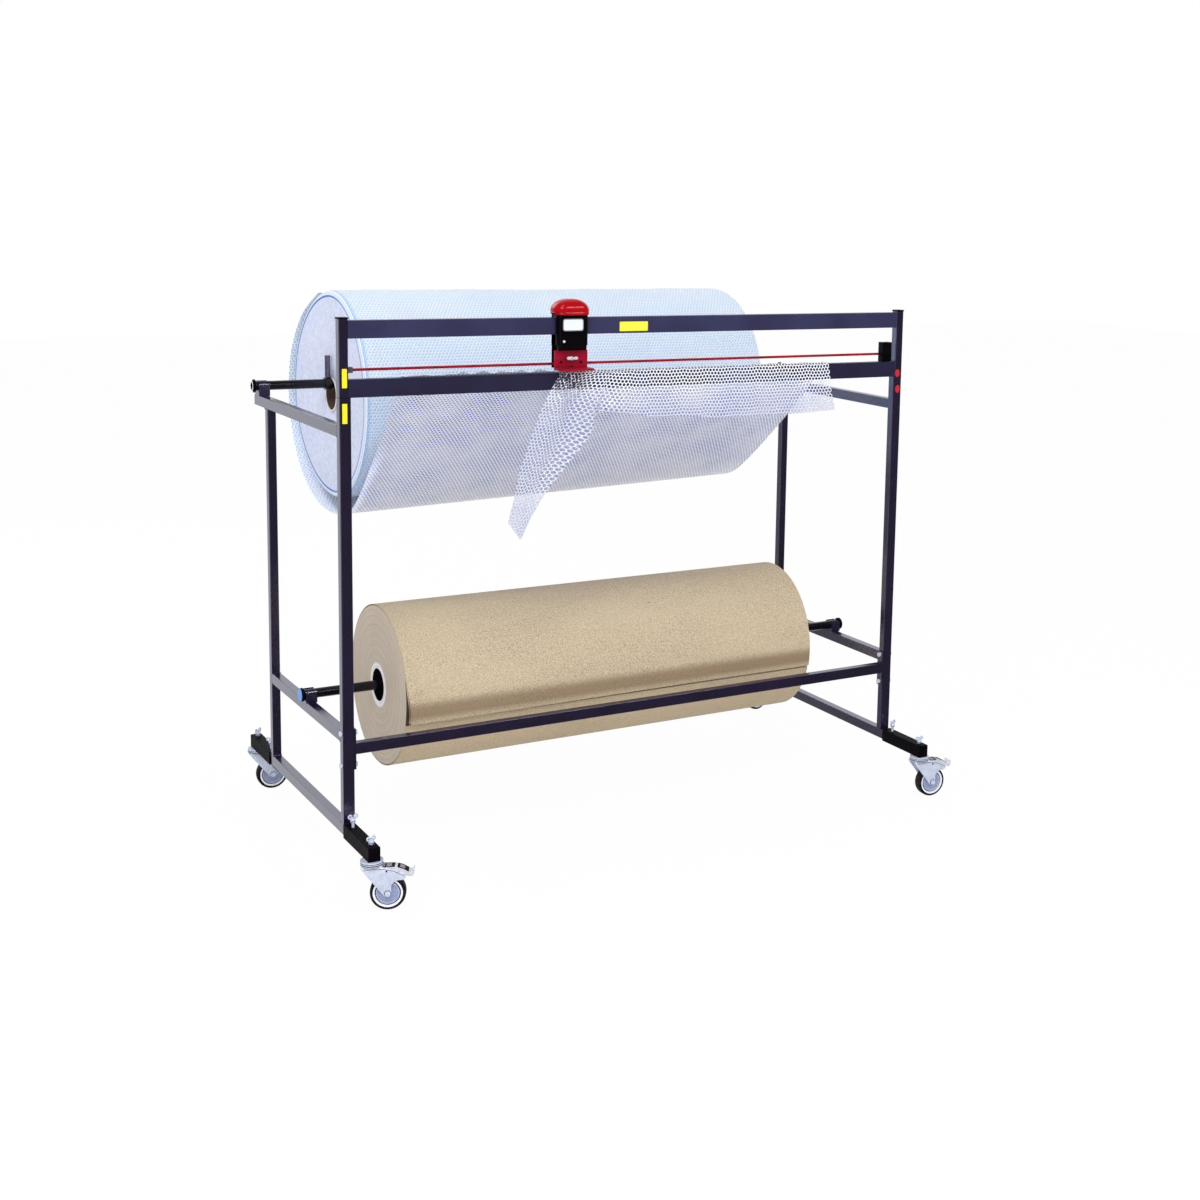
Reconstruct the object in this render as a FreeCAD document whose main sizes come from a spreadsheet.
import FreeCAD
import Part
import math
import os
import Sketcher
from FreeCAD import Placement, Rotation, Vector

# Mobile packing-roll stand with a sliding knife carriage, in millimetres.
# Frame: X to the operator's right, Y towards the back, Z up.
# The origin is on the floor, midway between the side frames and midway between the posts.

SIZES = {
    # Side frames: two welded frames of rectangular tube.
    "frame_width": 1450,
    "post_span": 543,
    "tube_wall": 2,
    "front_post_wide": 25,
    "rear_post_wide": 20,
    "post_deep": 20,
    "rail_wide": 20,
    "rail_tall": 25,
    "corner_round": 1.5,
    "bottom_rail_top": 135.5,
    "mid_rail_top": 341,
    "top_rail_top": 1002,
    "bottom_rail_half": 427.5,
    "top_rail_rear": 358,
    "post_joint_height": 1060.7,
    # Lower stretcher between the front posts.
    "stretcher_top": 313.5,
    "flange_thick": 4,
    "flange_tall": 90,
    "flange_centre": 300.5,
    "flange_bolt_gap": 71,
    "flange_bolt_radius": 3,
    "flange_head_radius": 6,
    "flange_head_tall": 4,
    # Cutting frame that plugs into the front posts.
    "end_post_wide": 20,
    "end_post_tall": 164.3,
    "spigot_long": 60,
    "spigot_play": 0.2,
    "bar_tall": 38,
    "upper_bar_bottom": 1184.3,
    "bar_wall": 2.5,
    "groove_wide": 6.4,
    "groove_deep": 12,
    "cap_thick": 3.5,
    "cap_lip": 0.8,
    "cap_plug_long": 10,
    # Clamp rod that lies above the lower bar.
    "rod_radius": 3,
    "rod_height": 1117.5,
    "rod_from_bar_back": 1,
    "rod_relief": 2.3,
    "rod_pivot_x": -695,
    "rod_pin_radius": 1.5,
    "rod_eye_radius": 4,
    "pivot_ear_thick": 2.5,
    "grip_left": 664,
    "grip_wide": 28,
    "grip_tall": 48.6,
    "grip_deep": 18,
    # Knife carriage.
    "carriage_x": -198,
    "housing_wide": 75,
    "housing_top": 1229,
    "housing_split": 1160,
    "housing_foot": 1108,
    "housing_front_gap": 18,
    "housing_back_gap": 8,
    "housing_round": 11,
    "channel_play": 2.2,
    "channel_top": 1224.5,
    "knob_wide": 86,
    "knob_deep": 57,
    "knob_tall": 35.5,
    "knob_bottom": 1228.2,
    "knob_corner": 23,
    "knob_dome": 19.5,
    "knob_pocket_deep": 10,
    "knob_play": 0.6,
    "knob_notch_tall": 4.5,
    "plunger_wide": 20,
    "plunger_deep": 10,
    "plunger_front_gap": 14.5,
    "plunger_bottom": 1160,
    "plunger_arm_tall": 12,
    "plunger_play": 0.4,
    "spring_outer": 5,
    "spring_wire": 1.4,
    "spring_spread": 24,
    "spring_long": 20.4,
    "blade_wide": 18,
    "blade_thick": 1,
    "blade_tip": 1104.3,
    "guard_wide": 80,
    "guard_thick": 5,
    "guard_bottom": 1105.5,
    "guard_top": 1149,
    "guard_back_gap": 0.5,
    "shoe_long": 36,
    "shoe_thick": 5,
    "lug_wide": 60,
    "lug_bottom": 1120,
    "lug_thick": 7,
    "wing_nut_height": 1131,
    "pad_thick": 1.6,
    # Roll axles and their saddles.
    "axle_radius": 11,
    "axle_wall": 2,
    "upper_axle_y": 320,
    "upper_axle_height": 1025.5,
    "lower_axle_y": -12,
    "lower_axle_height": 358.5,
    "upper_axle_half": 735,
    "lower_axle_half": 731,
    "upper_cap_radius": 16,
    "upper_cap_long": 7,
    "lower_cap_radius": 15.5,
    "lower_cap_long": 8,
    "axle_plug_long": 15,
    "saddle_wide": 26,
    "saddle_radius": 16,
    "saddle_play": 0.3,
    "collar_radius": 15,
    "collar_long": 16,
    "collar_play": 0.05,
    "screw_radius": 6.5,
    "screw_tall": 52,
    # Rolls.
    "roll_width": 1075,
    "bubble_left": -551,
    "paper_left": -556,
    "core_inner": 38,
    "core_wall": 5,
    "bubble_radius": 251,
    "bubble_skin": 2.5,
    "paper_radius": 186.5,
    "hang_play": 0.4,
    "plug_long": 40,
    "plug_rim": 3,
    "plug_play": 0.06,
    # Film from the upper roll over the lower bar.
    "film_thick": 2,
    "film_gap": 1.2,
    "film_left": -551,
    "film_right": 510,
    # Feet: sleeves over the bottom rails, casters below them.
    "sleeve_start": 276,
    "sleeve_long": 160,
    "sleeve_wall": 2.8,
    "sleeve_play": 0.2,
    "sleeve_end_thick": 8,
    "wing_bolt_near": 302,
    "wing_bolt_far": 417,
    "wing_bolt_radius": 3,
    "wing_bolt_near_rise": 13,
    "wing_bolt_far_rise": 3,
    "caster_y": 420,
    "plate_radius": 24,
    "plate_thick": 3,
    "stem_radius": 5,
    "stem_long": 19,
    "stem_nut_radius": 7.5,
    "kingpin_radius": 6,
    "kingpin_head_radius": 9,
    "kingpin_head_tall": 4,
    "running_play": 0.06,
    "wheel_radius": 37.5,
    "wheel_wide": 24,
    "hub_radius": 27,
    "wheel_bore": 4,
    "trail": 33,
    "fork_gap": 1.5,
    "fork_sheet": 2.5,
    "crown_radius": 24,
    "crown_drop": 7,
    "fork_drop": 0.5,
    "leg_back": 22,
    "leg_overlap": 3,
    "pedal_wide": 25,
    "pedal_hinge_x": 40,
    "pedal_hinge_height": 86,
    "pedal_pin_radius": 2.5,
}

LEFT, RIGHT = -1, 1
FRONT, REAR = -1, 1
SIDE_NAMES = {LEFT: "left", RIGHT: "right"}
END_NAMES = {FRONT: "front", REAR: "rear"}

# Swivel angle of each caster about Z: 0 trails to +X.
CASTER_YAW = {
    (FRONT, LEFT): -24,
    (FRONT, RIGHT): -5,
    (REAR, LEFT): -2,
    (REAR, RIGHT): 8,
}

# The hanging film's outline (x, z), clockwise from its upper left corner:
# the flap over the bar, then the cut strip that dangles from the knife.
FLAP_OUTLINE = [
    (-229, 1100), (500, 1100), (517, 985), (405, 981), (212, 980), (104, 987), (3, 991),
    (-125, 1012), (-143, 995), (-164, 938), (-205, 891), (-264, 828), (-298, 775),
    (-321, 728), (-354, 774), (-326, 881), (-302, 948), (-278, 1016), (-250, 1066),
]

doc = FreeCAD.newDocument("RollStand")
parts = []


# ---------------------------------------------------------------- helpers

def make_sheet():
    """Put every driving size in the sheet, each cell with its own alias."""
    sheet = doc.addObject("Spreadsheet::Sheet", "Sizes")
    for row, (alias, value) in enumerate(SIZES.items(), start=1):
        sheet.set(f"A{row}", alias)
        sheet.set(f"B{row}", str(value))
        sheet.setAlias(f"B{row}", alias)
    doc.recompute()
    return sheet


def size(alias):
    """A size read back from the sheet."""
    return float(sizes.get(alias))


def bind(obj, **formulas):
    """Bind properties to sheet formulas: words in the formula are sheet aliases."""
    for prop, formula in formulas.items():
        obj.setExpression(prop.replace("__", "."), sheet_formula(formula))


def sheet_formula(formula):
    """Put the sheet's name before each alias in a formula."""
    words = []
    word = ""
    for letter in str(formula) + " ":
        if letter.isalnum() or letter in "_.":
            word += letter
        else:
            words.append("Sizes." + word if word in SIZES else word)
            words.append(letter)
            word = ""
    return "".join(words).strip()


def place(obj, x="0", y="0", z="0", turn=None):
    """Bind an object's position to formulas, and turn it."""
    obj.Placement = Placement(Vector(), turn or Rotation())
    bind(obj, Placement__Base__x=x, Placement__Base__y=y, Placement__Base__z=z)
    return obj


def keep(obj, label):
    """Name an object as a finished sub-part."""
    obj.Label = label
    parts.append(obj)
    return obj


def box(name, wide, deep, tall, x="0", y="0", z="0"):
    """A box from formulas, with its lowest corner at x, y, z."""
    solid = doc.addObject("Part::Box", name)
    bind(solid, Length=wide, Width=deep, Height=tall)
    return place(solid, x, y, z)


def rod(name, radius, length, x="0", y="0", z="0", axis=Vector(0, 0, 1)):
    """A cylinder from formulas, starting at x, y, z and running along axis."""
    solid = doc.addObject("Part::Cylinder", name)
    bind(solid, Radius=radius, Height=length)
    return place(solid, x, y, z, Rotation(Vector(0, 0, 1), axis))


def cut(name, base, tool):
    result = doc.addObject("Part::Cut", name)
    result.Base = base
    result.Tool = tool
    return result


def fuse(name, *solids):
    result = doc.addObject("Part::MultiFuse", name)
    result.Shapes = list(solids)
    return result


def group(label, *solids):
    """One node for several separate solids."""
    result = doc.addObject("Part::Compound", label)
    result.Links = list(solids)
    return keep(result, label)


ALONG_X = Vector(1, 0, 0)
ALONG_Y = Vector(0, 1, 0)
LENGTH_TO_X = Rotation(Vector(0, 1, 0), 90)
LENGTH_TO_Y = Rotation(Vector(1, 0, 0), -90)


def origin_plane(body, role):
    for feature in body.Origin.OriginFeatures:
        if feature.Role == role:
            return feature
    raise ValueError(role)


def new_sketch(body, name, role="XY_Plane"):
    sketch = body.newObject("Sketcher::SketchObject", name)
    sketch.AttachmentSupport = [(origin_plane(body, role), "")]
    sketch.MapMode = "FlatFace"
    return sketch


def sketch_rectangle(sketch, wide, tall, left=None, low=None):
    """A rectangle with its width and height bound to formulas.

    It is centred on the sketch's origin unless left or low says where it starts.
    """
    first = sketch.GeometryCount
    corners = [Vector(-1, -1, 0), Vector(1, -1, 0), Vector(1, 1, 0), Vector(-1, 1, 0)]
    for start, end in zip(corners, corners[1:] + corners[:1]):
        sketch.addGeometry(Part.LineSegment(start, end), False)
    for step in range(4):
        pair = ("Coincident", first + step, 2, first + (step + 1) % 4, 1)
        sketch.addConstraint(Sketcher.Constraint(*pair))
    for line, kind in enumerate(["Horizontal", "Vertical", "Horizontal", "Vertical"]):
        sketch.addConstraint(Sketcher.Constraint(kind, first + line))
    bind_distance(sketch, "DistanceX", (first, 1, first, 2), wide)
    bind_distance(sketch, "DistanceY", (first + 1, 1, first + 1, 2), tall)
    bind_distance(sketch, "DistanceX", (-1, 1, first, 1), left or f"-({wide}) / 2")
    bind_distance(sketch, "DistanceY", (-1, 1, first, 1), low or f"-({tall}) / 2")


def bind_distance(sketch, kind, ends, formula):
    index = sketch.addConstraint(Sketcher.Constraint(kind, *ends, 1.0))
    sketch.setExpression(f"Constraints[{index}]", sheet_formula(formula))


def pad(body, sketch, length, name="Length", both=False, reverse=False):
    feature = body.newObject("PartDesign::Pad", name)
    feature.Profile = sketch
    bind(feature, Length=length)
    feature.Midplane = both
    feature.Reversed = reverse
    sketch.Visibility = False
    return feature


def pocket(body, sketch, length, name="Cut", both=False, reverse=False):
    feature = body.newObject("PartDesign::Pocket", name)
    feature.Profile = sketch
    bind(feature, Length=length)
    feature.Midplane = both
    feature.Reversed = reverse
    return feature


def long_outer_edges(shape):
    """Names of the edges that run along Z on the outermost corners of a shape."""
    bounds = shape.BoundBox
    names = []
    for number, edge in enumerate(shape.Edges, start=1):
        low, high = edge.Vertexes[0].Point, edge.Vertexes[-1].Point
        upright = abs(low.x - high.x) + abs(low.y - high.y) < 1e-6
        at_side = min(abs(low.x - bounds.XMin), abs(low.x - bounds.XMax)) < 1e-6
        at_face = min(abs(low.y - bounds.YMin), abs(low.y - bounds.YMax)) < 1e-6
        if upright and at_side and at_face:
            names.append(f"Edge{number}")
    return names


def round_edges(body, names, radius):
    tip = body.Tip
    feature = body.newObject("PartDesign::Fillet", "Round")
    feature.Base = (tip, names)
    bind(feature, Radius=radius)
    return feature


def tube_body(name, wide, tall, length, wall="tube_wall"):
    """A rectangular tube along the body's own Z, with rounded outer corners."""
    body = doc.addObject("PartDesign::Body", name)
    section = new_sketch(body, "Section")
    sketch_rectangle(section, wide, tall)
    sketch_rectangle(section, f"{wide} - 2 * {wall}", f"{tall} - 2 * {wall}")
    pad(body, section, length)
    doc.recompute()
    round_edges(body, long_outer_edges(body.Shape), "corner_round")
    return body


def side_x(side, half_width):
    """Formula for the centre of a tube that is flush with a side frame's outer face."""
    return f"{side} * (frame_width / 2 - {half_width})"


# ---------------------------------------------------------------- side frames

def make_side_frame(side):
    name = SIDE_NAMES[side]
    rail_x = side_x(side, "rail_wide / 2")
    front_y = "-post_span / 2 + post_deep / 2"
    rear_y = "post_span / 2 - post_deep / 2"

    front_tall = "post_joint_height - bottom_rail_top"
    front = tube_body("PostTube", "front_post_wide", "post_deep", front_tall)
    place(front, side_x(side, "front_post_wide / 2"), front_y, "bottom_rail_top")
    keep(drill_bolt_holes(front, side), f"{name}_front_post")

    rear_tall = "top_rail_top - rail_tall - bottom_rail_top"
    rear = tube_body(f"{name}_rear_post", "rear_post_wide", "post_deep", rear_tall)
    place(rear, side_x(side, "rear_post_wide / 2"), rear_y, "bottom_rail_top")
    keep(rear, f"{name}_rear_post")

    post_back = "-post_span / 2 + post_deep"
    rails = {
        "top": ("top_rail_top", post_back, f"top_rail_rear - ({post_back})"),
        "mid": ("mid_rail_top", post_back, "post_span - 2 * post_deep"),
        "bottom": ("bottom_rail_top", "-bottom_rail_half", "2 * bottom_rail_half"),
    }
    for level, (top, start, length) in rails.items():
        rail = tube_body("RailTube", "rail_wide", "rail_tall", length)
        place(rail, rail_x, start, f"{top} - rail_tall / 2", LENGTH_TO_Y)
        if level == "bottom":
            rail = drill_stem_holes(rail, side)
        keep(rail, f"{name}_{level}_rail")


def drill_bolt_holes(post, side):
    """Holes through the post for the stretcher's flange bolts."""
    result = post
    for step in (-1, 1):
        hole = rod("BoltHole", "flange_bolt_radius + 0.3", "front_post_wide + 2",
                   f"{side_x(side, 'front_post_wide / 2')} - front_post_wide / 2 - 1",
                   "-post_span / 2 + post_deep / 2",
                   f"flange_centre + {step} * flange_bolt_gap / 2", ALONG_X)
        result = cut("DrilledPost", result, hole)
    return result


def drill_stem_holes(rail, side):
    """Holes for the caster stems, up through the rail's lower wall."""
    result = rail
    for end in (FRONT, REAR):
        low = "bottom_rail_top - rail_tall - 1"
        hole = rod("StemHole", "stem_radius + 0.5", "tube_wall + 2",
                   side_x(side, "rail_wide / 2"), f"{end} * caster_y", low)
        result = cut("DrilledRail", result, hole)
    return result


# ---------------------------------------------------------------- stretcher

def make_stretcher():
    inner = "frame_width / 2 - front_post_wide"
    middle_y = "-post_span / 2 + post_deep / 2"
    tube = tube_body("StretcherTube", "rail_tall", "post_deep", f"2 * ({inner} - flange_thick)")
    place(tube, f"-({inner}) + flange_thick", middle_y, "stretcher_top - rail_tall / 2",
          LENGTH_TO_X)
    ends = []
    for side in (LEFT, RIGHT):
        low = f"{side} * ({inner} - flange_thick / 2) - flange_thick / 2"
        plate = box("Flange", "flange_thick", "post_deep", "flange_tall", low,
                    "-post_span / 2", "flange_centre - flange_tall / 2")
        for step in (-1, 1):
            hole = rod("FlangeHole", "flange_bolt_radius + 0.3", "flange_thick + 2",
                       f"{low} - 1", middle_y, f"flange_centre + {step} * flange_bolt_gap / 2",
                       ALONG_X)
            plate = cut("DrilledFlange", plate, hole)
        ends.append(plate)
    keep(fuse("Stretcher", tube, *ends), "stretcher")


def make_stretcher_bolts():
    """Bolts through each front post and the stretcher's end flange, with their nuts."""
    bolts = []
    middle_y = "-post_span / 2 + post_deep / 2"
    for side in (LEFT, RIGHT):
        outward = ALONG_X * side
        for step in (-1, 1):
            height = f"flange_centre + {step} * flange_bolt_gap / 2"
            outer_x = f"{side} * frame_width / 2"
            nut_x = f"{side} * (frame_width / 2 - front_post_wide - flange_thick)"
            nut = rod("Nut", "flange_head_radius - 0.5", "flange_head_tall + 1", nut_x,
                      middle_y, height, outward * -1)
            shank = rod("Shank", "flange_bolt_radius",
                        "front_post_wide + flange_thick + flange_head_tall", outer_x, middle_y,
                        height, outward * -1)
            head = rod("Head", "flange_head_radius", "flange_head_tall", outer_x, middle_y,
                       height, outward)
            bolts.append(fuse("FlangeBolt", nut, shank, head))
    group("stretcher_bolts", *bolts)


# ---------------------------------------------------------------- cutting frame

def make_end_post(side):
    """A short post that carries the bars, with a spigot down into the front post."""
    name = f"{SIDE_NAMES[side]}_end_post"
    body = doc.addObject("PartDesign::Body", name)
    outer = new_sketch(body, "Outer")
    sketch_rectangle(outer, "end_post_wide", "post_deep")
    pad(body, outer, "end_post_tall")
    doc.recompute()
    round_edges(body, long_outer_edges(body.Shape), "corner_round")
    hollow = new_sketch(body, "Hollow")
    bind(hollow, AttachmentOffset__Base__z="end_post_tall")
    sketch_rectangle(hollow, "end_post_wide - 2 * tube_wall", "post_deep - 2 * tube_wall")
    pocket(body, hollow, "end_post_tall - 4", "Bore")
    spigot = new_sketch(body, "SpigotSection")
    wide = "end_post_wide - tube_wall - spigot_play"
    left = "-end_post_wide / 2 + tube_wall + spigot_play" if side == LEFT else "-end_post_wide / 2"
    sketch_rectangle(spigot, wide, "post_deep - 2 * tube_wall - 2 * spigot_play", left)
    pad(body, spigot, "spigot_long", "Spigot", reverse=True)
    place(body, side_x(side, "end_post_wide / 2"), "-post_span / 2 + post_deep / 2",
          "post_joint_height")
    keep(body, name)


def make_upper_guide_bar():
    length = "frame_width - 2 * end_post_wide"
    bar = tube_body("upper_guide_bar", "bar_tall", "post_deep", length, "bar_wall")
    place(bar, f"-({length}) / 2", "-post_span / 2 + post_deep / 2",
          "upper_bar_bottom + bar_tall / 2", LENGTH_TO_X)
    keep(bar, "upper_guide_bar")


def make_lower_bar():
    """The bar under the knife: a hollow below, an open knife groove along the top."""
    length = "frame_width - 2 * end_post_wide"
    body = doc.addObject("PartDesign::Body", "lower_bar")
    section = new_sketch(body, "Section", "YZ_Plane")
    sketch_rectangle(section, "post_deep", "bar_tall", low="0")
    hollow_tall = "bar_tall - groove_deep - 2 * bar_wall - 1"
    sketch_rectangle(section, "post_deep - 2 * bar_wall", hollow_tall, low="bar_wall")
    pad(body, section, length, both=True)
    groove = new_sketch(body, "Groove", "YZ_Plane")
    sketch_rectangle(groove, "groove_wide", "groove_deep + 2", low="bar_tall - groove_deep")
    pocket(body, groove, f"{length} + 2", "KnifeGroove", both=True)
    place(body, "0", "-post_span / 2 + post_deep / 2", "post_joint_height")
    keep(body, "lower_bar")


def make_post_caps():
    """Black push-in caps on the end posts."""
    caps = []
    top = "post_joint_height + end_post_tall"
    for side in (LEFT, RIGHT):
        centre = side_x(side, "end_post_wide / 2")
        lip = box("CapLip", "end_post_wide + 2 * cap_lip", "post_deep + 2 * cap_lip",
                  "cap_thick", f"{centre} - end_post_wide / 2 - cap_lip",
                  "-post_span / 2 - cap_lip", top)
        plug_wide = "end_post_wide - 2 * tube_wall - 0.4"
        plug_deep = "post_deep - 2 * tube_wall - 0.4"
        plug = box("CapPlug", plug_wide, plug_deep, "cap_plug_long",
                   f"{centre} - ({plug_wide}) / 2",
                   f"-post_span / 2 + post_deep / 2 - ({plug_deep}) / 2",
                   f"{top} - cap_plug_long")
        caps.append(fuse("Cap", lip, plug))
    group("post_caps", *caps)


def make_clamp_rod():
    """A thin rod over the lower bar, hinged at its left end."""
    rod_y = "-post_span / 2 + post_deep - rod_from_bar_back"
    start = "rod_pivot_x"
    bar = rod("RodBar", "rod_radius", "grip_left + grip_wide - 4 - rod_pivot_x",
              start, rod_y, "rod_height", ALONG_X)
    eye = rod("RodEye", "rod_eye_radius", "2 * rod_radius", start,
              f"{rod_y} - rod_radius", "rod_height", ALONG_Y)
    hole = rod("RodEyeHole", "rod_pin_radius + 0.05", "2 * rod_radius + 2", start,
               f"{rod_y} - rod_radius - 1", "rod_height", ALONG_Y)
    keep(cut("ClampRod", fuse("RodWithEye", bar, eye), hole), "clamp_rod")

    grip = box("GripBlock", "grip_wide", "grip_deep", "grip_tall", "grip_left",
               "-post_span / 2 + 1", "post_joint_height + bar_tall + 0.4")
    bore = rod("GripBore", "rod_radius", "grip_wide - 4", "grip_left", rod_y, "rod_height",
               ALONG_X)
    keep(cut("ClampRodGrip", grip, bore), "clamp_rod_grip")


def make_clamp_rod_pivot():
    """Two ears on the left end post with the rod's pin between them."""
    rod_y = "-post_span / 2 + post_deep - rod_from_bar_back"
    post_face = "-frame_width / 2 + end_post_wide"
    reach = f"rod_pivot_x + rod_eye_radius - ({post_face})"
    ears = []
    for step in (-1, 1):
        near = f"{rod_y} + {step} * (rod_radius + 0.3 + pivot_ear_thick / 2) - pivot_ear_thick / 2"
        ear = box("Ear", reach, "pivot_ear_thick", "2 * rod_eye_radius + 4", post_face, near,
                  "rod_height - rod_eye_radius - 2")
        ears.append(ear)
    pin_long = "2 * (rod_radius + 0.3 + pivot_ear_thick)"
    pin = rod("PivotPin", "rod_pin_radius", pin_long, "rod_pivot_x",
              f"{rod_y} - ({pin_long}) / 2", "rod_height", ALONG_Y)
    web = box("EarWeb", "2", pin_long, "2 * rod_eye_radius + 4", post_face,
              f"{rod_y} - ({pin_long}) / 2", "rod_height - rod_eye_radius - 2")
    keep(fuse("ClampRodPivot", web, pin, *ears), "clamp_rod_pivot")


# ---------------------------------------------------------------- knife carriage

HOUSING_FRONT = "(-post_span / 2 - housing_front_gap)"
HOUSING_BACK = "(-post_span / 2 + post_deep + housing_back_gap)"
HOUSING_DEEP = f"({HOUSING_BACK} - {HOUSING_FRONT})"
HOUSING_MIDDLE = f"({HOUSING_FRONT} + {HOUSING_BACK}) / 2"
GUARD_BACK = "(-post_span / 2 + guard_back_gap)"
PLUNGER_FRONT = "(-post_span / 2 - plunger_front_gap)"
BLADE_Y = "(-post_span / 2 + post_deep / 2)"


def centred_box(name, wide, front, back, low, high):
    """A box centred on the carriage's X, between two Y planes and two heights."""
    return box(name, wide, f"({back}) - ({front})", f"({high}) - ({low})",
               f"carriage_x - ({wide}) / 2", front, low)


def rounded_block(name, wide, deep, tall, corner):
    """A block on the carriage's centre line with its upright edges rounded."""
    body = doc.addObject("PartDesign::Body", name)
    plan = new_sketch(body, "Plan")
    sketch_rectangle(plan, wide, deep)
    pad(body, plan, tall)
    doc.recompute()
    round_edges(body, long_outer_edges(body.Shape), corner)
    doc.recompute()
    return body


def make_cutter_housing():
    """A black shell that wraps the guide bar, with a rear leg and a front lug."""
    body = rounded_block("HousingShell", "housing_wide", HOUSING_DEEP,
                         "housing_top - housing_foot", "housing_round")
    place(body, "carriage_x", HOUSING_MIDDLE, "housing_foot")

    bar_front, bar_back = "-post_span / 2 - channel_play", "-post_span / 2 + post_deep + channel_play"
    channel = centred_box("Channel", "housing_wide + 2", bar_front, bar_back, "housing_foot - 1",
                          "channel_top")
    below = centred_box("BelowFront", "housing_wide + 2", f"{HOUSING_FRONT} - 1",
                        f"{bar_back} + rod_relief", "housing_foot - 1", "housing_split")
    slot = centred_box("PlungerSlot", "plunger_wide + 2 * plunger_play",
                       f"{PLUNGER_FRONT} - plunger_play",
                       f"{PLUNGER_FRONT} + plunger_deep + plunger_play",
                       "housing_foot", "housing_top + 1")
    arm_slot = centred_box("ArmSlot", "plunger_wide + 2 * plunger_play",
                           PLUNGER_FRONT, f"{GUARD_BACK} + lug_thick + 1", "guard_top - 1",
                           "upper_bar_bottom - 8")
    lug = centred_box("Lug", "lug_wide", GUARD_BACK, f"{GUARD_BACK} + lug_thick", "lug_bottom",
                      "housing_split")
    lug_tie = centred_box("LugTie", "lug_wide", "-post_span / 2 - channel_play - 3",
                          f"{GUARD_BACK} + lug_thick", "housing_split", "housing_split + 6")
    stud_hole = rod("StudHole", "2.1", "lug_thick + 2", "carriage_x", f"{GUARD_BACK} - 1",
                    "wing_nut_height", ALONG_Y)
    shell = body
    for tool in (channel, below):
        shell = cut("HousingCut", shell, tool)
    shell = fuse("HousingWithLug", shell, lug, lug_tie)
    for tool in (slot, arm_slot, stud_hole):
        shell = cut("HousingCut", shell, tool)
    keep(shell, "cutter_housing")


def make_cutter_knob():
    """The press knob: a rounded cap over the housing, with the plunger that holds the knife."""
    body = rounded_block("KnobCap", "knob_wide", "knob_deep", "knob_tall", "knob_corner")
    round_edges(body, top_edges(body.Shape), "knob_dome")
    place(body, "carriage_x", HOUSING_MIDDLE, "knob_bottom")
    hollow = rounded_block("KnobHollow", "housing_wide + 2 * knob_play",
                           f"{HOUSING_DEEP} + 2 * knob_play", "knob_pocket_deep + 1",
                           "housing_round + knob_play")
    place(hollow, "carriage_x", HOUSING_MIDDLE, "knob_bottom - 1")
    cap = cut("HollowCap", body, hollow)

    roof = "knob_bottom + knob_pocket_deep"
    plunger = centred_box("Plunger", "plunger_wide", PLUNGER_FRONT,
                          f"{PLUNGER_FRONT} + plunger_deep", "plunger_bottom", roof)
    arm = centred_box("PlungerArm", "plunger_wide", PLUNGER_FRONT, f"{BLADE_Y} - blade_thick",
                      "plunger_bottom", "plunger_bottom + plunger_arm_tall")
    bar_notch = centred_box("BarNotch", "knob_wide + 2", "-post_span / 2 - channel_play",
                            "-post_span / 2 + post_deep + channel_play", "knob_bottom - 1",
                            "knob_bottom + knob_notch_tall")
    knob = fuse("KnobWithPlunger", cut("NotchedCap", cap, bar_notch), plunger, arm)
    for step in (-1, 1):
        well = rod("SpringWell", "spring_outer + 0.8", "spring_long + 2",
                   f"carriage_x + {step} * spring_spread", BLADE_Y, "housing_top")
        knob = cut("KnobCut", knob, well)
    keep(knob, "cutter_knob")


def top_edges(shape):
    """Names of the edges that lie on a shape's top face."""
    top = shape.BoundBox.ZMax
    names = []
    for number, edge in enumerate(shape.Edges, start=1):
        if edge.BoundBox.ZMin > top - 1e-6:
            names.append(f"Edge{number}")
    return names


def make_return_springs():
    springs = []
    for step in (-1, 1):
        where = f"carriage_x + {step} * spring_spread"
        outer = rod("SpringOuter", "spring_outer", "spring_long", where, BLADE_Y, "housing_top + 0.1")
        inner = rod("SpringInner", "spring_outer - spring_wire", "spring_long + 2", where, BLADE_Y,
                    "housing_top - 1")
        springs.append(cut("Spring", outer, inner))
    group("return_springs", *springs)


def make_blade():
    """A pointed knife that hangs from the plunger's arm, edges to both sides."""
    body = doc.addObject("PartDesign::Body", "knife_blade")
    outline = new_sketch(body, "Outline", "XZ_Plane")
    half = size("blade_wide") / 2
    tall = size("plunger_bottom") + size("plunger_arm_tall") - 1 - size("blade_tip")
    points = [(-half, half), (0, 0), (half, half), (half, tall), (-half, tall)]
    sketch_polygon(outline, points)
    pad(body, outline, "blade_thick", reverse=True)
    place(body, "carriage_x", f"{BLADE_Y} - blade_thick", "blade_tip")
    keep(body, "knife_blade")


def sketch_polygon(sketch, points):
    """A closed outline through the points, held by coordinates."""
    first = sketch.GeometryCount
    corners = [Vector(x, y, 0) for x, y in points]
    for start, end in zip(corners, corners[1:] + corners[:1]):
        sketch.addGeometry(Part.LineSegment(start, end), False)
    count = len(corners)
    for step in range(count):
        pair = ("Coincident", first + step, 2, first + (step + 1) % count, 1)
        sketch.addConstraint(Sketcher.Constraint(*pair))


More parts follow.
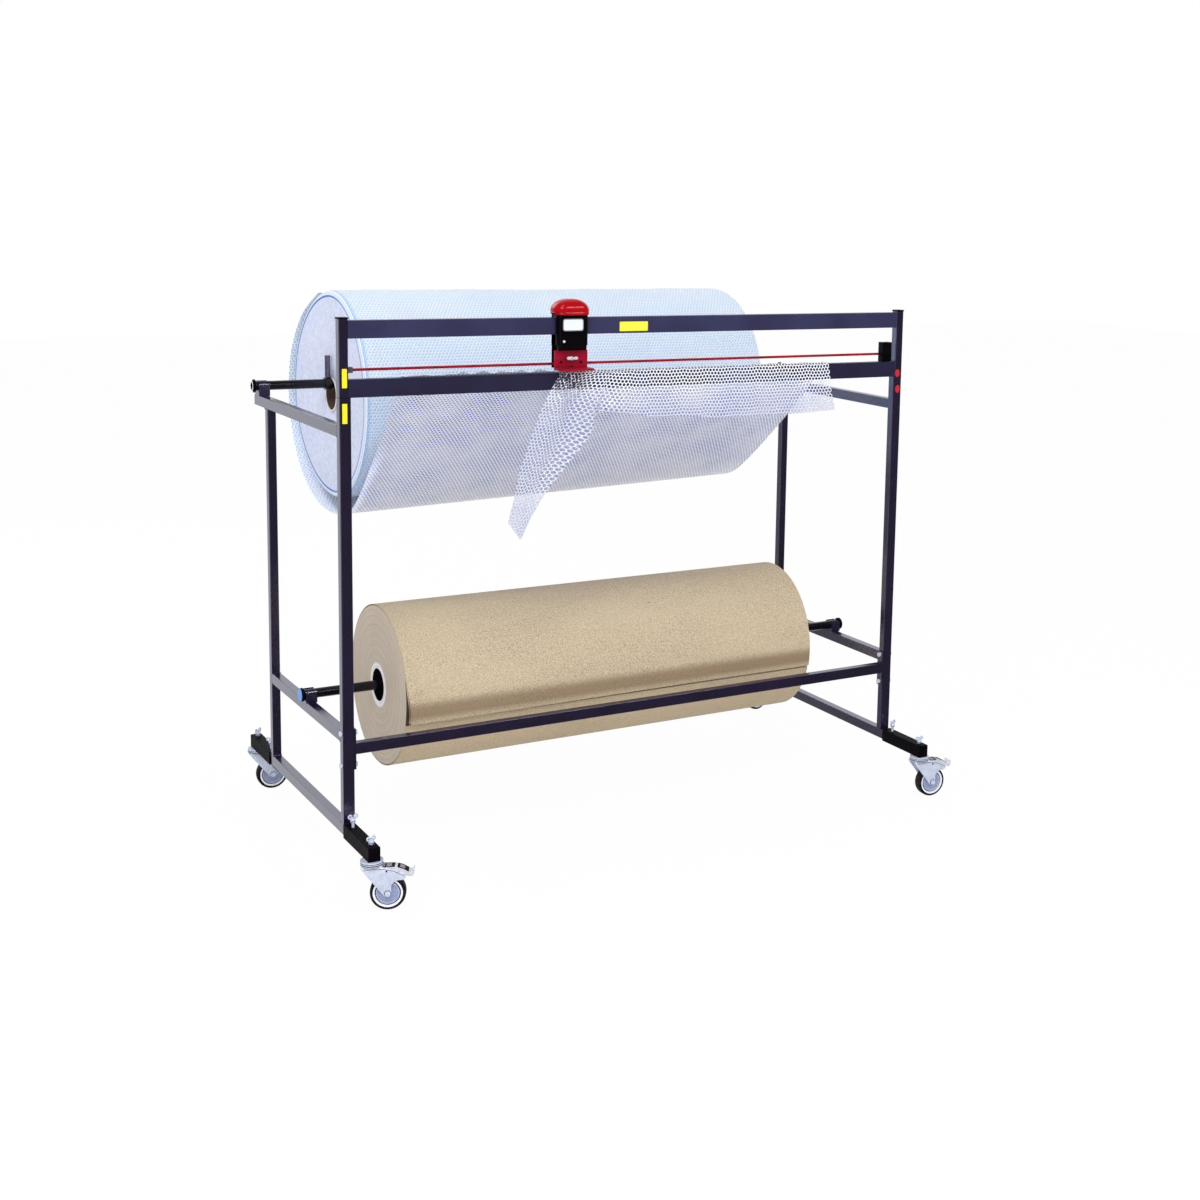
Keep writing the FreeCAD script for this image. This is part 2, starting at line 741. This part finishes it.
def make_blade_guard():
    """The red plate in front of the knife, with a shoe that reaches forward over the film."""
    back, front = GUARD_BACK, f"({GUARD_BACK} - guard_thick)"
    plate = centred_box("GuardPlate", "guard_wide", front, back, "guard_bottom", "guard_top")
    shoe = centred_box("Shoe", "guard_wide", f"{front} - shoe_long", back, "guard_bottom",
                       "guard_bottom + shoe_thick")
    hole = rod("GuardStudHole", "2.2", "guard_thick + 2", "carriage_x", f"{front} - 1",
               "wing_nut_height", ALONG_Y)
    keep(cut("BladeGuard", fuse("GuardWithShoe", plate, shoe), hole), "blade_guard")


def make_wing_nut():
    """Wing nut and stud that clamp the guard plate to the housing's lug."""
    front = f"({GUARD_BACK} - guard_thick)"
    stud = rod("Stud", "2", "guard_thick + lug_thick + 9", "carriage_x", f"{front} - 9",
               "wing_nut_height", ALONG_Y)
    boss = rod("Boss", "5", "7", "carriage_x", f"{front} - 7", "wing_nut_height", ALONG_Y)
    wings = []
    for step in (-1, 1):
        wing = box("Wing", "11", "2.4", "8", f"carriage_x + {step} * 8 - 5.5", f"{front} - 8",
                   "wing_nut_height - 3")
        wings.append(wing)
    keep(fuse("WingNut", boss, stud, *wings), "wing_nut")


def make_glide_pads():
    """Low-friction pads between the housing and the guide bar."""
    pads = []
    play = 0.25
    for step in (-1, 1):
        where = f"carriage_x + {step} * 26 - 7"
        low = "upper_bar_bottom + 6"
        tall = "bar_tall - 12"
        front = box("FrontPad", "14", f"channel_play - {play}", tall, where,
                    "-post_span / 2 - channel_play", low)
        rear = box("RearPad", "14", f"channel_play - {play}", tall, where,
                   f"-post_span / 2 + post_deep + {play}", low)
        top_gap = "channel_top - upper_bar_bottom - bar_tall"
        top = box("TopPad", "14", "post_deep - 6", f"{top_gap} - {play}", where,
                  "-post_span / 2 + 3", f"channel_top - ({top_gap}) + {play}")
        pads += [front, rear, top]
    group("glide_pads", *pads)


# ---------------------------------------------------------------- axles and rolls

def make_saddles(level):
    """Open-topped saddles on both side rails that an axle drops into."""
    axle_y, axle_height = f"{level}_axle_y", f"{level}_axle_height"
    rail_top = "top_rail_top" if level == "upper" else "mid_rail_top"
    saddles = []
    for side in (LEFT, RIGHT):
        low_x = f"{side_x(side, 'saddle_wide / 2')} - saddle_wide / 2 + {side} * 4"
        foot = box("SaddleFoot", "saddle_wide", "2 * saddle_radius",
                   f"{axle_height} - {rail_top}", low_x, f"{axle_y} - saddle_radius", rail_top)
        cheek = rod("SaddleCheek", "saddle_radius", "saddle_wide", low_x, axle_y, axle_height,
                    ALONG_X)
        below = box("BelowRailTop", "saddle_wide + 2", "3 * saddle_radius", "saddle_radius",
                    f"{low_x} - 1", f"{axle_y} - 1.5 * saddle_radius",
                    f"{rail_top} - saddle_radius")
        block = cut("SaddleBlock", fuse("SaddleSolid", foot, cheek), below)
        seat = rod("Seat", "axle_radius + saddle_play", "saddle_wide + 2", f"{low_x} - 1",
                   axle_y, axle_height, ALONG_X)
        mouth = box("Mouth", "saddle_wide + 2", "2 * (axle_radius + saddle_play)",
                    "saddle_radius + 1", f"{low_x} - 1",
                    f"{axle_y} - axle_radius - saddle_play", axle_height)
        saddles.append(cut("Saddle", cut("SaddleSeat", block, seat), mouth))
    group(f"{level}_axle_saddles", *saddles)


def make_axle(level):
    axle_y, height = f"{level}_axle_y", f"{level}_axle_height"
    half = f"{level}_axle_half"
    outer = rod("AxleOuter", "axle_radius", f"2 * {half}", f"-{half}", axle_y, height, ALONG_X)
    inner = rod("AxleInner", "axle_radius - axle_wall", f"2 * {half} + 2", f"-{half} - 1",
                axle_y, height, ALONG_X)
    keep(cut("Axle", outer, inner), f"{level}_axle")

    caps = []
    for side in (LEFT, RIGHT):
        disc = rod("AxleCap", f"{level}_cap_radius", f"{level}_cap_long", f"{side} * {half}",
                   axle_y, height, ALONG_X * side)
        plug = rod("AxlePlug", "axle_radius - axle_wall", "axle_plug_long", f"{side} * {half}",
                   axle_y, height, ALONG_X * -side)
        caps.append(fuse("AxleEnd", disc, plug))
    group(f"{level}_axle_caps", *caps)


def make_stop_collars():
    """Collars on the upper axle that keep the hanging roll in place, with their screws."""
    collars, screws = [], []
    left_end = "bubble_left - 0.5 - collar_long"
    right_end = "bubble_left + roll_width + 0.5"
    for low_x in (left_end, right_end):
        ring = rod("Collar", "collar_radius", "collar_long", low_x, "upper_axle_y",
                   "upper_axle_height", ALONG_X)
        bore = rod("CollarBore", "axle_radius", "collar_long + 2", f"{low_x} - 1",
                   "upper_axle_y", "upper_axle_height", ALONG_X)
        middle = f"{low_x} + collar_long / 2"
        hole = rod("ScrewHole", "3", "collar_radius", middle, "upper_axle_y", "upper_axle_height")
        collars.append(cut("CollarRing", cut("CollarCut", ring, bore), hole))
        tip = rod("ScrewTip", "2.8", "collar_radius - axle_radius + 2", middle, "upper_axle_y",
                  "upper_axle_height + axle_radius")
        grip = rod("ScrewGrip", "screw_radius", "screw_tall", middle, "upper_axle_y",
                   "upper_axle_height + collar_radius + 1")
        screws.append(fuse("CollarScrew", tip, grip))
    group("stop_collars", *collars)
    group("collar_screws", *screws)


def ring_along_x(name, outer, inner, left, length, y, z):
    solid = rod("RingOuter", outer, length, left, y, z, ALONG_X)
    bore = rod("RingInner", inner, f"{length} + 2", f"{left} - 1", y, z, ALONG_X)
    return cut(name, solid, bore)


def make_bubble_roll():
    """The upper roll hangs on its axle by the top of its core."""
    centre = "upper_axle_height - (core_inner - axle_radius) + hang_play"
    core = ring_along_x("BubbleCore", "core_inner + core_wall", "core_inner", "bubble_left",
                        "roll_width", "upper_axle_y", centre)
    keep(core, "bubble_film_core")
    roll = ring_along_x("BubbleRoll", "bubble_radius", "core_inner + core_wall",
                        "bubble_left", "roll_width", "upper_axle_y", centre)
    air = ring_along_x("RollAir", "bubble_radius - bubble_skin",
                       "core_inner + core_wall + bubble_skin", "bubble_left + bubble_skin",
                       "roll_width - 2 * bubble_skin", "upper_axle_y", centre)
    keep(cut("BubbleRollSkin", roll, air), "bubble_film_roll")


def make_paper_roll():
    """The lower roll is centred on its axle by a plug in each end of its core."""
    y, z = "lower_axle_y", "lower_axle_height"
    core = ring_along_x("PaperCore", "core_inner + core_wall", "core_inner", "paper_left",
                        "roll_width", y, z)
    keep(core, "paper_core")
    roll = ring_along_x("PaperRoll", "paper_radius", "core_inner + core_wall", "paper_left",
                        "roll_width", y, z)
    keep(roll, "paper_roll")
    plugs = []
    for side in (LEFT, RIGHT):
        low_x = "paper_left" if side == LEFT else "paper_left + roll_width - plug_long"
        plugs.append(ring_along_x("Plug", "core_inner", "axle_radius + plug_play", low_x,
                                  "plug_long", y, z))
    group("core_plugs", *plugs)


# ---------------------------------------------------------------- film

def make_film_web():
    """The straight run of film, from the roll's lower front up to the lower bar."""
    centre_z = size("upper_axle_height") - size("core_inner") + size("axle_radius")
    centre_z += size("hang_play")
    reach = size("bubble_radius") + size("film_gap")
    start_y = -size("post_span") / 2 + size("post_deep") + 1.5
    start_z = size("post_joint_height") + size("bar_tall") + 1
    dy, dz = start_y - size("upper_axle_y"), start_z - centre_z
    distance = math.hypot(dy, dz)
    swing = math.atan2(dz, dy) + math.acos(reach / distance)
    touch_y = size("upper_axle_y") + reach * math.cos(swing)
    touch_z = centre_z + reach * math.sin(swing)
    slope = math.degrees(math.atan2(touch_z - start_z, touch_y - start_y))
    web = doc.addObject("Part::Box", "film_web")
    bind(web, Length="film_right - film_left", Height="film_thick")
    web.Width = math.hypot(touch_y - start_y, touch_z - start_z)
    turn = Rotation(Vector(1, 0, 0), slope)
    below = turn.multVec(Vector(0, 0, -size("film_thick")))
    web.Placement = Placement(Vector(size("film_left"), start_y, start_z) + below, turn)
    keep(web, "film_web")


def make_film_flap():
    """The film in front of the bar, with the cut strip."""
    front = -size("post_span") / 2 - size("film_gap") - size("film_thick")
    corners = [Vector(x, front, z) for x, z in FLAP_OUTLINE]
    face = Part.Face(Part.makePolygon(corners + corners[:1]))
    flap = doc.addObject("Part::Feature", "film_flap")
    flap.Shape = face.extrude(Vector(0, size("film_thick"), 0))
    keep(flap, "film_flap")


# ---------------------------------------------------------------- feet and casters

def make_foot_sleeve(end, side):
    """A black sleeve over a bottom rail's free end, closed at its outer end."""
    name = f"{END_NAMES[end]}_{SIDE_NAMES[side]}_foot_sleeve"
    inner_wide = "rail_wide + 2 * sleeve_play"
    inner_tall = "rail_tall + 2 * sleeve_play"
    body = doc.addObject("PartDesign::Body", "SleeveShell")
    outer = new_sketch(body, "Outer")
    sketch_rectangle(outer, f"{inner_wide} + 2 * sleeve_wall", f"{inner_tall} + 2 * sleeve_wall")
    pad(body, outer, "sleeve_long")
    doc.recompute()
    round_edges(body, long_outer_edges(body.Shape), "corner_round")
    hollow = new_sketch(body, "Hollow")
    sketch_rectangle(hollow, inner_wide, inner_tall)
    pocket(body, hollow, "sleeve_long - sleeve_end_thick", "Bore", reverse=True)
    turn = Rotation(Vector(1, 0, 0), 90 if end == FRONT else -90)
    rail_x = side_x(side, "rail_wide / 2")
    place(body, rail_x, f"{end} * sleeve_start", "bottom_rail_top - rail_tall / 2", turn)
    result = body
    low = "bottom_rail_top - rail_tall - sleeve_play - sleeve_wall - 1"
    stem = rod("StemHole", "stem_radius + 0.1", "sleeve_wall + 2", rail_x,
               f"{end} * caster_y", low)
    result = cut("SleeveStemCut", result, stem)
    for where in ("wing_bolt_near", "wing_bolt_far"):
        hole = rod("BoltHole", "wing_bolt_radius + 0.1", "sleeve_wall + 2", rail_x,
                   f"{end} * {where}", "bottom_rail_top + sleeve_play - 1")
        result = cut("SleeveBoltCut", result, hole)
    keep(result, name)


def make_wing_bolts():
    """Bolts that clamp the sleeves on the rails: shank, collar and two wings."""
    bolts = []
    top = "bottom_rail_top + sleeve_play + sleeve_wall"
    for side in (LEFT, RIGHT):
        for end in (FRONT, REAR):
            for where in ("wing_bolt_near", "wing_bolt_far"):
                x, y = side_x(side, "rail_wide / 2"), f"{end} * {where}"
                seat = f"{top} + {where}_rise"
                shank = rod("Shank", "wing_bolt_radius", f"sleeve_wall + 3 + {where}_rise", x, y,
                            "bottom_rail_top")
                collar = rod("Boss", "5.5", "7", x, y, seat)
                wings = [box("Wing", "9", "2.6", "13", f"{x} + {step} * 8 - 4.5", f"{y} - 1.3",
                             f"{seat} + 3") for step in (-1, 1)]
                bolts.append(fuse("WingBolt", shank, collar, *wings))
    group("wing_bolts", *bolts)


PLATE_TOP = "(bottom_rail_top - rail_tall - sleeve_play - sleeve_wall)"


def make_caster_plates():
    """Top plates with threaded stems, their nuts inside the rails, and the kingpins below."""
    solids = []
    for side in (LEFT, RIGHT):
        for end in (FRONT, REAR):
            x, y = side_x(side, "rail_wide / 2"), f"{end} * caster_y"
            plate = rod("TopPlate", "plate_radius", "plate_thick", x, y,
                        f"{PLATE_TOP} - plate_thick")
            stem = rod("Stem", "stem_radius", "stem_long", x, y, f"{PLATE_TOP} - plate_thick")
            nut = rod("StemNut", "stem_nut_radius", "stem_radius + 1", x, y,
                      "bottom_rail_top - rail_tall + tube_wall")
            pin_long = "fork_drop + crown_drop + kingpin_head_tall"
            pin = rod("Kingpin", "kingpin_radius", pin_long, x, y,
                      f"{PLATE_TOP} - plate_thick - ({pin_long})")
            head = rod("KingpinHead", "kingpin_head_radius", "kingpin_head_tall - 0.3", x, y,
                       f"{PLATE_TOP} - plate_thick - ({pin_long})")
            solids.append(fuse("PlateWithStem", plate, stem, nut, pin, head))
    group("caster_plates", *solids)


def caster_rotation(end, side):
    return Rotation(Vector(0, 0, 1), CASTER_YAW[(end, side)])


def place_caster(obj, end, side):
    """Put an object drawn about the swivel axis under its foot sleeve."""
    return place(obj, side_x(side, "rail_wide / 2"), f"{end} * caster_y", "0",
                 caster_rotation(end, side))


def make_caster(end, side):
    """Fork with its wheel bolt and wheel, trailing to the fork's own +X; a pedal in front."""
    name = f"{END_NAMES[end]}_{SIDE_NAMES[side]}"
    inner = "wheel_wide + 2 * fork_gap"
    outer = f"{inner} + 2 * fork_sheet"
    roof = f"({PLATE_TOP} - plate_thick - fork_drop - crown_drop)"

    crown = rod("Crown", "crown_radius", "crown_drop", "0", "0", roof)
    braked = end == FRONT
    legs = make_fork_legs(outer, braked)
    gap = box("WheelGap", "6 * trail", inner, f"{roof}", "-2 * trail", f"-({inner}) / 2", "0")
    fork = cut("ForkSlotted", fuse("ForkSolid", crown, legs), gap)
    holes = [
        rod("KingpinHole", "kingpin_radius + running_play", "3 * crown_drop", "0", "0",
            f"{roof} - crown_drop"),
        pin_across("AxleHole", "wheel_bore", f"{outer} + 2", "trail", "wheel_radius"),
    ]
    if braked:
        holes.append(pin_across("PedalHole", "pedal_pin_radius + running_play", f"{outer} + 2",
                                "pedal_hinge_x", "pedal_hinge_height"))
    for hole in holes:
        fork = cut("ForkDrilled", fork, hole)
    bolt = pin_across("WheelBolt", "wheel_bore", f"{outer} + 2", "trail", "wheel_radius")
    heads = [rod("BoltHead", "6", "3.5", "trail", f"{step} * (({outer}) / 2 + 0.05)",
                 "wheel_radius", ALONG_Y * step) for step in (-1, 1)]
    node = doc.addObject("Part::Compound", f"{name}_caster_fork")
    node.Links = [fork, fuse("WheelBoltSet", bolt, *heads)]
    keep(place_caster(node, end, side), f"{name}_caster_fork")

    tyre = ring_along_y("Tyre", "wheel_radius", "hub_radius", "wheel_wide")
    hub = ring_along_y("Hub", "hub_radius", "wheel_bore + running_play", "wheel_wide - 2")
    wheel = doc.addObject("Part::Compound", f"{name}_wheel")
    wheel.Links = [tyre, hub]
    keep(place_caster(wheel, end, side), f"{name}_wheel")

    if braked:
        pedal = fuse("PedalSolid", make_pedal_plate(),
                     pin_across("PedalPin", "pedal_pin_radius", outer, "pedal_hinge_x",
                                "pedal_hinge_height"))
        keep(place_caster(pedal, end, side), f"{name}_brake_pedal")


def pin_across(name, radius, length, x, z):
    """A cylinder along Y, centred on the fork's middle plane."""
    return rod(name, radius, length, x, f"-({length}) / 2", z, ALONG_Y)


def make_fork_legs(outer, braked):
    """The fork's side outline, padded to its full width; the wheel gap is cut later."""
    body = doc.addObject("PartDesign::Body", "ForkLegs")
    legs = new_sketch(body, "LegOutline", "XZ_Plane")
    back, lap, crown_edge = size("leg_back"), size("leg_overlap"), size("crown_radius")
    roof = size("bottom_rail_top") - size("rail_tall") - size("sleeve_play")
    roof -= size("sleeve_wall") + size("plate_thick") + size("fork_drop") + size("crown_drop")
    axle_x, axle_z, lip = size("trail"), size("wheel_radius"), 7.5
    outline = [
        (-back, roof + lap), (-back, roof - 4), (axle_x - lip, axle_z - 5),
        (axle_x - 4, axle_z - lip), (axle_x + 4, axle_z - lip), (axle_x + lip, axle_z - 4),
    ]
    hood = [
        (axle_x + lip, axle_z + 20), (axle_x + 17, axle_z + 28.5), (axle_x + 33, axle_z + 29.5),
        (axle_x + 38, axle_z + 34.5), (axle_x + 36, axle_z + 40.5), (axle_x + 12, roof - 6.5),
        (crown_edge + 1, roof - 2.5), (crown_edge - 2, roof), (crown_edge - 2, roof + lap),
    ]
    plain = [(axle_x + lip + 4, axle_z + 2), (axle_x - 7, axle_z + 29), (crown_edge, roof - 8),
             (crown_edge, roof + lap)]
    outline += hood if braked else plain
    sketch_polygon(legs, outline)
    pad(body, legs, outer, both=True)
    return body


def make_pedal_plate():
    """The pedal's side outline about its hinge, padded to its width."""
    body = doc.addObject("PartDesign::Body", "PedalPlate")
    sketch = new_sketch(body, "PedalOutline", "XZ_Plane")
    x, z = size("pedal_hinge_x"), size("pedal_hinge_height")
    outline = [
        (x - 13, z + 8.5), (x + 10, z + 8.5), (x + 24, z + 4), (x + 36, z - 3), (x + 42, z - 4),
        (x + 46, z + 1.5), (x + 49, z + 1.5), (x + 46, z - 11.5), (x + 42, z - 13.5),
        (x + 34, z - 12.5), (x + 20, z - 5.5), (x + 5, z - 6), (x - 13, z - 4),
    ]
    sketch_polygon(sketch, outline)
    pad(body, sketch, "pedal_wide", both=True)
    return body


def ring_along_y(name, outer, inner, wide):
    solid = rod("RingOuter", outer, wide, "trail", f"-({wide}) / 2", "wheel_radius", ALONG_Y)
    bore = rod("RingInner", inner, f"{wide} + 2", "trail", f"-({wide}) / 2 - 1",
               "wheel_radius", ALONG_Y)
    return cut(name, solid, bore)


# ---------------------------------------------------------------- build and write

def build_all():
    for side in (LEFT, RIGHT):
        make_side_frame(side)
        make_end_post(side)
    make_stretcher()
    make_stretcher_bolts()
    make_upper_guide_bar()
    make_lower_bar()
    make_post_caps()
    make_clamp_rod()
    make_clamp_rod_pivot()
    make_cutter_housing()
    make_cutter_knob()
    make_return_springs()
    make_blade()
    make_blade_guard()
    make_wing_nut()
    make_glide_pads()
    for level in ("upper", "lower"):
        make_saddles(level)
        make_axle(level)
    make_stop_collars()
    make_bubble_roll()
    make_paper_roll()
    make_film_web()
    make_film_flap()
    for end in (FRONT, REAR):
        for side in (LEFT, RIGHT):
            make_foot_sleeve(end, side)
            make_caster(end, side)
    make_wing_bolts()
    make_caster_plates()


def check_all():
    """Stop if any object failed or any sub-part is empty or invalid."""
    for obj in doc.Objects:
        if "Invalid" in obj.State or "Error" in obj.State:
            raise RuntimeError(f"{obj.Name} ({obj.Label}) failed: {obj.State}")
    for obj in parts:
        if obj.Shape.isNull() or not obj.Shape.isValid() or not obj.Shape.Solids:
            raise RuntimeError(f"{obj.Label} has no valid solid")
    labels = [obj.Label for obj in parts]
    if len(set(labels)) != len(labels):
        raise RuntimeError("two sub-parts share a label")


def write_all():
    os.makedirs("parts", exist_ok=True)
    for obj in parts:
        obj.Shape.exportStep(f"parts/{obj.Label}.step")
        print(f"{obj.Label}: {len(obj.Shape.Solids)} solid(s), {obj.Shape.Volume / 1000:.1f} cm3")
    print(len(parts), "sub-parts")


sizes = make_sheet()
build_all()
doc.recompute()
check_all()
write_all()
